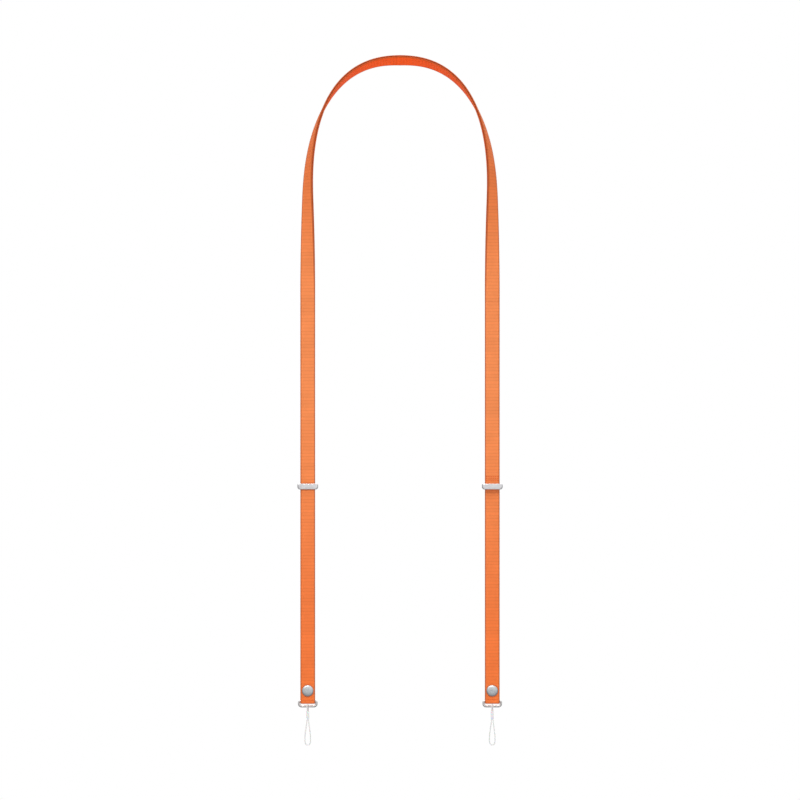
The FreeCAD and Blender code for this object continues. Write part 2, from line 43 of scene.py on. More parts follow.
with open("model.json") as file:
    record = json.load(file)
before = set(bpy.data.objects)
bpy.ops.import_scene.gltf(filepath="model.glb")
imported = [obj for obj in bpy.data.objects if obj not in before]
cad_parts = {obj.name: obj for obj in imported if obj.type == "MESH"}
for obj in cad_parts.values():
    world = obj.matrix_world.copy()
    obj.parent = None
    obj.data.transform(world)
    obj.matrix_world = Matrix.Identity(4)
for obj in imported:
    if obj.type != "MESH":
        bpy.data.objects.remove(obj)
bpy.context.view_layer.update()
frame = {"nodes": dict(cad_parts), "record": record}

MM = 0.001
SIDES = (("left", "right"), ("right", "left"))
FRONT = Vector((0, -1, 0))
BACK = Vector((0, 1, 0))
UP = Vector((0, 0, 1))


def middle(node):
    """The middle of a node's box."""
    low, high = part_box(node)
    return (low + high) / 2


# ---------------------------------------------------------------- measures taken from the frame

leg_low, leg_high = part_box("left_strap_leg")
STRAP_WIDTH = leg_high.x - leg_low.x
STRAP_THICK = leg_high.y - leg_low.y
LEG_OFFSET = -middle("left_strap_leg").x
LEG_DEPTH = (middle("left_strap_leg").y + middle("right_strap_leg").y) / 2
LAYER = (middle("right_strap_leg").y - middle("left_strap_leg").y) / 2
LEG_TOP = leg_high.z
BAR_HEIGHT = leg_low.z
LOOP_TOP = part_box("left_strap_far_leg")[0].z
FLAP_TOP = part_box("left_strap_flap")[1].z
FOLD_RADIUS = (middle("left_strap_flap").y - middle("left_strap_leg").y) / 2
SLIDER_HEIGHT = middle("left_slider_frame").z


# ---------------------------------------------------------------- camera, light and floor

def add_camera():
    """A long lens straight in front, which frames the whole lanyard."""
    view_width, view_height, distance, sensor = 0.692, -0.2938, 14.0, 36.0
    data = bpy.data.cameras.new("camera")
    data.sensor_width = sensor
    data.lens = sensor * distance / view_width
    data.clip_start, data.clip_end = 0.1, 80.0
    camera = bpy.data.objects.new("camera", data)
    camera.location = (0, LEG_DEPTH - distance, view_height)
    camera.rotation_euler = (math.radians(90), 0, 0)
    bpy.context.scene.collection.objects.link(camera)
    bpy.context.scene.camera = camera


LIGHT_AIM_HEIGHT = -0.3


def add_area_light(name, location, size, power, colour, hidden_from=()):
    """A soft box that faces the middle of the lanyard; some kinds of ray may pass it by."""
    target = Vector((0, LEG_DEPTH, LIGHT_AIM_HEIGHT))
    data = bpy.data.lights.new(name, "AREA")
    data.shape = "RECTANGLE"
    data.size, data.size_y = size
    data.energy = power
    data.color = colour
    light = bpy.data.objects.new(name, data)
    light.location = location
    light.rotation_euler = (target - light.location).to_track_quat("-Z", "Y").to_euler()
    bpy.context.scene.collection.objects.link(light)
    for ray in hidden_from:
        setattr(light, f"visible_{ray}", False)


def add_surround():
    """A world that lights softly, less from below and the sides, and is white to the camera."""
    scene = bpy.context.scene
    scene.view_settings.view_transform = "Standard"
    scene.world = bpy.data.worlds.new("studio")
    scene.world.use_nodes = True
    tree = scene.world.node_tree
    tree.nodes.clear()
    direction = tree.nodes.new("ShaderNodeTexCoord")
    split = tree.nodes.new("ShaderNodeSeparateXYZ")
    rise = tree.nodes.new("ShaderNodeMapRange")
    rise.inputs["From Min"].default_value = -1.0
    ramp = tree.nodes.new("ShaderNodeValToRGB")
    stops = ((0.0, 0.20), (0.38, 0.40), (0.5, 0.64), (0.64, 0.70), (1.0, 0.86))
    while len(ramp.color_ramp.elements) < len(stops):
        ramp.color_ramp.elements.new(0.5)
    for element, (position, level) in zip(ramp.color_ramp.elements, stops):
        element.position = position
        element.color = (level, level, level * 1.02, 1)
    sideways = tree.nodes.new("ShaderNodeMath")
    sideways.operation = "ABSOLUTE"
    shade = tree.nodes.new("ShaderNodeMapRange")
    shade.interpolation_type = "SMOOTHSTEP"
    for name, value in (("From Min", 0.7), ("From Max", 0.95), ("To Min", 1.0), ("To Max", 0.45)):
        shade.inputs[name].default_value = value
    surround = tree.nodes.new("ShaderNodeBackground")
    seen = tree.nodes.new("ShaderNodeBackground")
    path = tree.nodes.new("ShaderNodeLightPath")
    mix = tree.nodes.new("ShaderNodeMixShader")
    output = tree.nodes.new("ShaderNodeOutputWorld")
    link = tree.links.new
    link(direction.outputs["Generated"], split.inputs["Vector"])
    link(split.outputs["Z"], rise.inputs["Value"])
    link(rise.outputs["Result"], ramp.inputs["Fac"])
    link(split.outputs["X"], sideways.inputs[0])
    link(sideways.outputs["Value"], shade.inputs["Value"])
    link(ramp.outputs["Color"], surround.inputs["Color"])
    link(shade.outputs["Result"], surround.inputs["Strength"])
    seen.inputs["Color"].default_value = (1, 1, 1, 1)
    seen.inputs["Strength"].default_value = 1.0
    link(path.outputs["Is Camera Ray"], mix.inputs["Fac"])
    link(surround.outputs["Background"], mix.inputs[1])
    link(seen.outputs["Background"], mix.inputs[2])
    link(mix.outputs["Shader"], output.inputs["Surface"])


def add_lights():
    """A key light for the cloth, a higher one and a card for the metal, a fill and a back light."""
    warm, cool, white = (1.0, 0.99, 0.97), (0.98, 0.99, 1.0), (1.0, 1.0, 1.0)
    add_area_light("key_light", (-1.0, -3.4, 2.2), (1.4, 1.4), 58, warm, ["glossy"])
    add_area_light("gloss_light", (-1.0, -1.9, 3.2), (1.4, 1.4), 84, warm, ["diffuse"])
    add_area_light("front_card", (0, -5.0, LIGHT_AIM_HEIGHT), (5.0, 2.4), 4.0, (1.0, 0.99, 0.99),
                   ["diffuse", "camera"])
    add_area_light("fill_light", (2.4, -2.8, 0.6), (3.0, 3.0), 12, cool)
    add_area_light("back_light", (0.5, 3.0, 1.8), (2.6, 2.2), 40, white)


def add_floor():
    """A pale floor well below the lanyard, which glows enough to look the same all over."""
    floor_height, floor_radius = -0.95, 12.0
    bpy.ops.mesh.primitive_circle_add(vertices=96, radius=floor_radius, fill_type="NGON",
                                      location=(0, 0, floor_height))
    floor = bpy.context.active_object
    floor.name = "floor"
    floor.visible_glossy = False
    pale = bpy.data.materials.new("pale_floor")
    pale.use_nodes = True
    surface = pale.node_tree.nodes["Principled BSDF"]
    surface.inputs["Base Color"].default_value = (0.30, 0.30, 0.30, 1)
    surface.inputs["Emission Color"].default_value = (1, 1, 1, 1)
    surface.inputs["Emission Strength"].default_value = 0.62
    surface.inputs["Roughness"].default_value = 0.9
    floor.data.materials.append(pale)


# ---------------------------------------------------------------- building meshes

def new_piece(name, vertices, faces, material):
    """A smooth-shaded mesh object."""
    mesh = bpy.data.meshes.new(name)
    mesh.from_pydata(vertices, [], faces)
    mesh.materials.append(material)
    mesh.shade_smooth()
    piece = bpy.data.objects.new(name, mesh)
    bpy.context.scene.collection.objects.link(piece)
    return piece


def tube_faces(rings, sides, closed_along=False, start=0):
    """Quads between neighbouring rings, and an end face on each open end."""
    faces = []
    spans = rings if closed_along else rings - 1
    for ring in range(spans):
        here = start + ring * sides
        ahead = start + (ring + 1) % rings * sides
        for side in range(sides):
            after = (side + 1) % sides
            faces.append((here + side, here + after, ahead + after, ahead + side))
    if not closed_along:
        last = start + (rings - 1) * sides
        faces.append(tuple(range(start + sides - 1, start - 1, -1)))
        faces.append(tuple(range(last, last + sides)))
    return faces


def rounded(corners, closed, steps=8):
    """A line through corners given as (x, y, radius), each rounded with an arc."""
    most_of_run = 0.499
    points = []
    count = len(corners)
    for index, (x, y, radius) in enumerate(corners):
        corner = Vector((x, y))
        if not closed and index in (0, count - 1) or radius == 0:
            points.append(corner)
            continue
        before = Vector(corners[index - 1][:2]) - corner
        after = Vector(corners[(index + 1) % count][:2]) - corner
        half_angle = before.angle(after) / 2
        shorter = min(before.length, after.length)
        trim = min(radius / math.tan(half_angle), most_of_run * shorter)
        radius = trim * math.tan(half_angle)
        inward = (before.normalized() + after.normalized()).normalized()
        centre = corner + inward * radius / math.sin(half_angle)
        first = corner + before.normalized() * trim - centre
        last = corner + after.normalized() * trim - centre
        turn = first.angle_signed(last)
        for step in range(steps + 1):
            angle = -turn * step / steps
            cos, sin = math.cos(angle), math.sin(angle)
            points.append(centre + Vector((first.x * cos - first.y * sin, first.x * sin + first.y * cos)))
    return points


def turned_piece(name, profile, centre, material, sides=72):
    """A piece turned about a front-to-back axis, from (radius, depth) points."""
    vertices, faces = [], []
    for radius, depth in profile:
        for side in range(sides):
            angle = math.tau * side / sides
            offset = Vector((radius * math.cos(angle), depth, radius * math.sin(angle)))
            vertices.append(centre + offset)
    count = len(profile)
    for ring in range(count - 1):
        for side in range(sides):
            here, after = ring * sides + side, ring * sides + (side + 1) % sides
            faces.append((here, after, after + sides, here + sides))
    piece = new_piece(name, vertices, faces, material)
    tidy = bmesh.new()
    tidy.from_mesh(piece.data)
    bmesh.ops.remove_doubles(tidy, verts=tidy.verts, dist=1e-7)
    bmesh.ops.recalc_face_normals(tidy, faces=tidy.faces)
    tidy.to_mesh(piece.data)
    tidy.free()
    return piece


def sweep(points, radius_at, sides, closed=False, start=0):
    """Vertices and faces of a tube along points; radius_at(distance, angle) gives its surface."""
    count = len(points)
    tangents = []
    for index in range(count):
        if closed:
            step = points[(index + 1) % count] - points[index - 1]
        else:
            step = points[min(index + 1, count - 1)] - points[max(index - 1, 0)]
        tangents.append(step.normalized())
    reference = Vector((1, 0, 0)) if abs(tangents[0].x) < 0.9 else Vector((0, 1, 0))
    across = (reference - tangents[0] * reference.dot(tangents[0])).normalized()
    vertices = []
    distance = 0.0
    for index, (point, tangent) in enumerate(zip(points, tangents)):
        if index:
            distance += (point - points[index - 1]).length
        across = (across - tangent * across.dot(tangent)).normalized()
        beside = tangent.cross(across)
        for side in range(sides):
            angle = math.tau * side / sides
            away = across * math.cos(angle) + beside * math.sin(angle)
            vertices.append(point + away * radius_at(distance, angle))
    return vertices, tube_faces(count, sides, closed, start)


# ---------------------------------------------------------------- materials

class Shader:
    """A material with one Principled shader, and short ways to add the nodes that feed it."""

    def __init__(self, name, **constants):
        self.material = bpy.data.materials.new(name)
        self.material.use_nodes = True
        self.tree = self.material.node_tree
        self.surface = self.tree.nodes["Principled BSDF"]
        for socket, value in constants.items():
            self.surface.inputs[socket.replace("_", " ")].default_value = value

    def feed(self, socket, value):
        """Set a socket to a number, a colour or another node's output."""
        if isinstance(value, bpy.types.NodeSocket):
            self.tree.links.new(value, socket)
        elif value is not None:
            socket.default_value = value

    def node(self, kind, output, inputs=(), **settings):
        made = self.tree.nodes.new("ShaderNode" + kind)
        for name, value in settings.items():
            setattr(made, name, value)
        for socket, value in dict(inputs).items():
            self.feed(made.inputs[socket], value)
        return made.outputs[output]

    def math(self, operation, *values):
        return self.node("Math", 0, enumerate(values), operation=operation)

    def step(self, value, low, high, start=0.0, end=1.0):
        """A smooth step from start to end as value goes from low to high."""
        inputs = {"Value": value, "From Min": low, "From Max": high, "To Min": start, "To Max": end}
        return self.node("MapRange", "Result", inputs, interpolation_type="SMOOTHSTEP")

    def mix(self, share, first, second, blend="MIX"):
        made = self.tree.nodes.new("ShaderNodeMix")
        made.data_type = "RGBA"
        made.blend_type = blend
        self.feed(made.inputs[0], share)
        self.feed(made.inputs[6], first)
        self.feed(made.inputs[7], second)
        return made.outputs[2]

    def noise(self, vector, scale, detail=3.0):
        inputs = {"Vector": vector, "Scale": scale, "Detail": detail}
        return self.node("TexNoise", "Fac", inputs)

    def bump(self, height, distance, strength=1.0, normal=None):
        inputs = {"Height": height, "Distance": distance, "Strength": strength, "Normal": normal}
        return self.node("Bump", "Normal", inputs)

    def finish(self, colour=None, roughness=None, normal=None):
        for socket, value in (("Base Color", colour), ("Roughness", roughness), ("Normal", normal)):
            self.feed(self.surface.inputs[socket], value)
        return self.material


RIB_PITCH = 0.95 * MM
RIBS_PER_GROUP = 3
WARP_PITCH = 0.42 * MM


def webbing_material():
    """Ribbed webbing: paler upper legs (painted sheen), a deeper back (painted shade), darker edges.

    The cloth map gives the place across the strap and along it from the middle of the neck.
    """
    face_colour, pale_colour = (0.88, 0.190, 0.042, 1), (0.88, 0.262, 0.082, 1)
    shaded_back_colour, edge_colour = (1.0, 0.100, 0.004, 1), (0.53, 0.125, 0.034, 1)
    shaded_back_edge_colour, valley_shade_colour = (0.64, 0.085, 0.012, 1), (0.36, 0.060, 0.012, 1)
    contact_shade_colour = (0.30, 0.036, 0.009, 1)
    shader = Shader("orange_webbing", Sheen_Weight=0.06, Sheen_Roughness=0.45,
                    Sheen_Tint=(1.0, 0.62, 0.40, 1), Specular_IOR_Level=0.16)
    cloth = shader.node("UVMap", "UV", uv_map="cloth")
    split = shader.tree.nodes.new("ShaderNodeSeparateXYZ")
    shader.tree.links.new(cloth, split.inputs[0])
    across, along = split.outputs["X"], split.outputs["Y"]

    rib = shader.math("DIVIDE", along, RIB_PITCH)
    group = shader.math("DIVIDE", along, RIB_PITCH * RIBS_PER_GROUP)
    valley = shader.step(shader.math("PINGPONG", rib, 0.5), 0.0, 0.22, 0.45, 0.0)
    deep_valley = shader.step(shader.math("PINGPONG", group, 0.5), 0.0, 0.11, 1.0, 0.0)
    valley = shader.math("MAXIMUM", valley, deep_valley)
    stagger = shader.math("MULTIPLY", shader.math("FLOOR", rib), 0.5)
    warp = shader.math("ADD", shader.math("DIVIDE", across, WARP_PITCH), stagger)
    thread = shader.step(shader.math("PINGPONG", warp, 0.5), 0.0, 0.36)
    chance = shader.node("TexWhiteNoise", "Value", {"W": shader.math("FLOOR", group)},
                         noise_dimensions="1D")
    dye = shader.noise(cloth, 55.0, 4.0)
    fuzz = shader.noise(cloth, 5200.0, 2.0)

    from_neck = shader.math("ABSOLUTE", along)
    # Painted sheen: the face is painted paler along the upper legs, in place of the sheen the light gives
    # them there.
    painted_sheen = shader.math("MULTIPLY", shader.step(from_neck, 0.10, 0.26),
                       shader.step(from_neck, 0.34, 0.58, 1.0, 0.0))
    colour = shader.mix(painted_sheen, face_colour, pale_colour)
    # Painted shade: the back is painted a deeper orange, in full over the neck where its underside lies
    # in shade, and in part along the rest.
    back = shader.node("Attribute", "Fac", attribute_name="back")
    deep = shader.math("MULTIPLY", back, shader.step(from_neck, 0.14, 0.26, 1.0, 0.4))
    colour = shader.mix(deep, colour, shaded_back_colour)
    shade = shader.math("MULTIPLY", shader.step(chance, 0.0, 1.0, 0.975, 1.02),
                        shader.step(dye, 0.3, 0.7, 0.96, 1.03))
    shade = shader.math("MULTIPLY", shade, shader.step(thread, 0.0, 1.0, 0.93, 1.02))
    shade = shader.math("MULTIPLY", shade, shader.step(fuzz, 0.2, 0.8, 0.95, 1.04))
    # The darker edges are woven selvedges, with painted shade of their rounded sides added to their
    # colour.
    half = STRAP_WIDTH / 2
    edge = shader.step(shader.math("ABSOLUTE", across), half - 1.05 * MM, half - 0.65 * MM)
    colour = shader.mix(edge, colour, shader.mix(deep, edge_colour, shaded_back_edge_colour))
    # Painted shade in the valleys between the ribs, deepest in every third valley.
    colour = shader.mix(shader.math("MULTIPLY", valley, 0.45), colour, valley_shade_colour)
    # Painted shade where other parts come close, such as the contact shadow under a slider, found from
    # ambient occlusion at render time and left out of the deep valleys where pieces meet.
    open_to_light = shader.node("AmbientOcclusion", "AO", {"Distance": 2.5 * MM}, samples=12)
    contact_shade = shader.step(open_to_light, 0.52, 0.87, 0.95, 0.0)
    outside_valley = shader.step(deep_valley, 0.0, 0.6, 1.0, 0.0)
    colour = shader.mix(shader.math("MULTIPLY", contact_shade, outside_valley), colour, contact_shade_colour)
    grey = shader.node("CombineColor", "Color", {0: shade, 1: shade, 2: shade})
    colour = shader.mix(1.0, colour, grey, "MULTIPLY")
    roughness = shader.step(fuzz, 0.2, 0.8, 0.52, 0.74)
    relief = shader.math("ADD", shader.math("MULTIPLY", thread, 0.7), shader.math("MULTIPLY", fuzz, 0.5))
    return shader.finish(colour, roughness, shader.bump(relief, 0.05 * MM, 0.7))


def thread_material():
    """Twisted sewing thread, a shade deeper than the webbing."""
    shader = Shader("orange_thread", Sheen_Weight=0.08, Sheen_Roughness=0.4,
                    Sheen_Tint=(1.0, 0.62, 0.40, 1), Specular_IOR_Level=0.2)
    place = shader.node("TexCoord", "Object")
    twist = shader.node("TexWave", "Fac", {"Vector": place, "Scale": 1400.0, "Distortion": 0.6},
                        bands_direction="DIAGONAL")
    colour = shader.mix(twist, (0.70, 0.085, 0.014, 1), (0.92, 0.16, 0.028, 1))
    return shader.finish(colour, 0.55, shader.bump(twist, 0.03 * MM, 0.6))


def satin_metal(name, tone, grain, roughness):
    """Satin nickel: a fine grain along one direction, faint handling marks and edges bright with wear."""
    shader = Shader(name, Metallic=1.0, Anisotropic=0.25)
    place = shader.node("TexCoord", "Object")
    stretched = shader.node("Mapping", "Vector", {"Vector": place, "Scale": grain})
    lines = shader.noise(stretched, 2600.0, 3.0)
    marks = shader.noise(place, 320.0, 4.0)
    edge = shader.step(shader.node("NewGeometry", "Pointiness"), 0.50, 0.60)
    dull = tuple(channel * 0.90 for channel in tone) + (1,)
    bright = tuple(min(1.0, channel * 1.15) for channel in tone) + (1,)
    colour = shader.mix(shader.step(marks, 0.35, 0.7), tone + (1,), dull)
    colour = shader.mix(edge, colour, bright)
    rough = shader.math("ADD", shader.step(lines, 0.25, 0.75, roughness - 0.05, roughness + 0.05),
                        shader.step(marks, 0.3, 0.7, -0.03, 0.05))
    return shader.finish(colour, rough, shader.bump(lines, 0.004 * MM, 0.35))


def cord_material():
    """Pale braided nylon."""
    shader = Shader("pale_cord", Sheen_Weight=0.35, Sheen_Roughness=0.35, Subsurface_Weight=0.15,
                    Subsurface_Scale=0.0004)
    place = shader.node("TexCoord", "Object")
    fibre = shader.noise(place, 9000.0, 2.0)
    soil = shader.noise(place, 420.0, 3.0)
    colour = shader.mix(shader.step(soil, 0.35, 0.75), (0.71, 0.71, 0.695, 1), (0.64, 0.64, 0.62, 1))
    return shader.finish(colour, shader.step(fibre, 0.2, 0.8, 0.42, 0.62),
                         shader.bump(fibre, 0.012 * MM, 0.5))


def moulding_material():
    """Milky soft plastic."""
    shader = Shader("milky_moulding", Subsurface_Weight=0.4, Subsurface_Scale=0.0012, Coat_Weight=0.15)
    place = shader.node("TexCoord", "Object")
    cloud = shader.noise(place, 650.0, 3.0)
    colour = shader.mix(cloud, (0.68, 0.69, 0.70, 1), (0.76, 0.765, 0.77, 1))
    return shader.finish(colour, shader.step(cloud, 0.3, 0.7, 0.30, 0.42),
                         shader.bump(cloud, 0.02 * MM, 0.3))


WEBBING = webbing_material()
THREAD = thread_material()
SLIDER_METAL = satin_metal("satin_nickel_slider", (0.97, 0.96, 0.97), (0.08, 1.0, 1.0), 0.30)
RING_METAL = satin_metal("satin_nickel_wire", (0.84, 0.82, 0.80), (0.15, 1.0, 1.0), 0.42)
SNAP_METAL = satin_metal("satin_nickel_snap", (0.73, 0.765, 0.785), (1.0, 1.0, 1.0), 0.52)
SPRING_METAL = satin_metal("spring_wire", (0.66, 0.64, 0.60), (1.0, 1.0, 1.0), 0.28)
CORD = cord_material()
MOULDING = moulding_material()


def carry_over(node, material):
    """Give a CAD node a finish of its own."""
    mesh = frame["nodes"][node].data
    mesh.materials.clear()
    mesh.materials.append(material)


# ---------------------------------------------------------------- cord loops

# The cord's route, in mm from the middle of the ring's lower bar: up out of the moulding, round
# the bar, down through the moulding and round the loop, and back into the moulding.
CORD_ROUTE = [
    (-0.47, 0.0, -6.9),
    (-0.47, 0.0, -4.1),
    (-0.30, -1.25, -1.7),
    (-0.12, -1.6, 1.5),
    (0.12, 1.6, 1.5),
    (0.30, 1.25, -1.7),
    (0.47, 0.0, -4.1),
    (0.47, 0.0, -11.2),
    (1.45, 0.0, -18.0),
    (2.50, 0.0, -26.0),
    (2.30, 0.0, -33.45),
    (-2.30, 0.0, -33.45),
    (-2.50, 0.0, -26.0),
    (-1.45, 0.0, -18.0),
    (-0.47, 0.0, -11.2),
    (-0.47, 0.0, -7.3),
]
CORD_DIAMETER = 0.9 * MM


def cord_line(origin):
    """Points along the smooth line of a cord loop, read from its NURBS spline."""
    curve = bpy.data.curves.new("cord_route", "CURVE")
    curve.dimensions = "3D"
    curve.resolution_u = 48
    spline = curve.splines.new("NURBS")
    spline.points.add(len(CORD_ROUTE) - 1)
    for point, route_point in zip(spline.points, CORD_ROUTE):
        place = origin + Vector(route_point) * MM
        point.co = (*place, 1)
    spline.order_u = 3
    spline.use_endpoint_u = True
    holder = bpy.data.objects.new("cord_route", curve)
    mesh = bpy.data.meshes.new_from_object(holder)
    line = [vertex.co.copy() for vertex in mesh.vertices]
    bpy.data.objects.remove(holder)
    bpy.data.curves.remove(curve)
    bpy.data.meshes.remove(mesh)
    return line


def evenly(line, spacing):
    """The same line with its points about this far apart."""
    lengths = [0.0]
    for before, after in zip(line, line[1:]):
        lengths.append(lengths[-1] + (after - before).length)
    count = round(lengths[-1] / spacing)
    points = []
    for index in range(count + 1):
        distance = lengths[-1] * index / count
        right = min(max(bisect_right(lengths, distance), 1), len(line) - 1)
        share = (distance - lengths[right - 1]) / (lengths[right] - lengths[right - 1])
        points.append(line[right - 1].lerp(line[right], share))
    return points


def braid_radius(distance, angle):
    """The surface of a round braid: strands of two hands that pass over each other in turn."""
    strands, lay, relief = 4, 1.9 * MM, 0.09
    turn = math.tau * distance / lay
    right = math.cos(strands * angle + turn)
    left = math.cos(strands * angle - turn)
    over = 0.5 + 0.5 * math.sin(2 * turn + math.pi / 4)
    height = max(right * (0.6 + 0.4 * over), left * (1.0 - 0.4 * over))
    return CORD_DIAMETER / 2 * (1 - relief + relief * height)


def add_cord(side):
    """A braided cord loop that hangs from the ring and swings on it, with its moulding."""
    ring_low, ring_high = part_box(f"{side}_ring")
    wire = (ring_high.y - ring_low.y) / 2
    origin = (ring_low + ring_high) / 2
    origin.z = ring_low.z + wire
    line = evenly(cord_line(origin), 0.09 * MM)
    vertices, faces = sweep(line, braid_radius, 24)
    cord = new_piece(f"{side}_loop_cord", vertices, faces, CORD)
    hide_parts(f"{side}_cord_loop")
    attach(cord, f"{side}_cord")
    grip = add_cord_grip(side)


def add_cord_grip(side):
    """The small moulding that holds the two strands side by side, with softened ends."""
    low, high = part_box(f"{side}_cord_neck")
    centre, half = (low + high) / 2, (high - low) / 2
    rows, sides = 28, 40
    end_taper, end_length, waist_depth = 0.22, 0.22, 0.05
    width_power, depth_power = 0.55, 0.7
    vertices = []
    for row in range(rows + 1):
        share = row / rows
        near_end = min(share, 1 - share) * 2
        swell = 1 - (1 - min(near_end / end_length, 1.0)) ** 2 * end_taper
        waist = 1 - waist_depth * math.sin(math.pi * share) ** 2
        for side_index in range(sides):
            angle = math.tau * side_index / sides
            cos, sin = math.cos(angle), math.sin(angle)
            x = math.copysign(abs(cos) ** width_power, cos) * half.x * swell * waist
            y = math.copysign(abs(sin) ** depth_power, sin) * half.y * swell * waist
            vertices.append(Vector((centre.x + x, centre.y + y, low.z + share * (high.z - low.z))))
    grip = new_piece(f"{side}_loop_grip", vertices, tube_faces(rows + 1, sides), MOULDING)
    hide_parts(f"{side}_cord_neck")
    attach(grip, f"{side}_cord")
    return grip


# ---------------------------------------------------------------- the line of each strap

ARCH_RISE = 123.0 * MM
ARCH_POWER = 2.4
LEAN_DEPTH = 46.0 * MM
APEX_TWIST = math.radians(125.0)
TWIST_PATH = 262.0 * MM
TWIST_POWER = 1.17


def arch_half():
    """Points from the apex down one side, between the two straps, with their distances."""
    steps = 400
    up = Vector((0, -math.cos(APEX_TWIST), math.sin(APEX_TWIST)))
    apex = up * (STRAP_THICK / 2 + LAYER)
    points, lengths = [], [0.0]
    for step in range(steps + 1):
        angle = math.pi / 2 * step / steps
        height = ARCH_RISE * max(math.cos(angle), 0.0) ** (2 / ARCH_POWER)
        x = LEG_OFFSET * math.sin(angle) ** (2 / ARCH_POWER)
        y = LEAN_DEPTH * ((height / ARCH_RISE) ** 2 - 1)
        points.append(apex + Vector((x, y, height - ARCH_RISE)))
    for before, after in zip(points, points[1:]):
        lengths.append(lengths[-1] + (after - before).length)
    points.append(points[-1] - UP * (TWIST_PATH - lengths[-1]))
    lengths.append(TWIST_PATH)
    return points, lengths


ARCH_POINTS, ARCH_LENGTHS = arch_half()


def arch_place(distance):
    """The point between the straps at a signed distance from the apex."""
    along = min(abs(distance), TWIST_PATH)
    right = min(max(bisect_right(ARCH_LENGTHS, along), 1), len(ARCH_POINTS) - 1)
    before, after = ARCH_LENGTHS[right - 1], ARCH_LENGTHS[right]
    point = ARCH_POINTS[right - 1].lerp(ARCH_POINTS[right], (along - before) / (after - before))
    return Vector((math.copysign(point.x, distance), point.y, point.z))


def arch_normal(distance):
    """The outward direction of the straps at a signed distance from the apex."""
    reach = 0.5 * MM
    low, high = max(distance - reach, -TWIST_PATH), min(distance + reach, TWIST_PATH)
    along = (arch_place(high) - arch_place(low)).normalized()
    front = (FRONT - along * FRONT.dot(along)).normalized()
    outward = front.cross(along)
    angle = APEX_TWIST * (1 - (abs(distance) / TWIST_PATH) ** TWIST_POWER)
    return front * math.cos(angle) + outward * math.sin(angle)


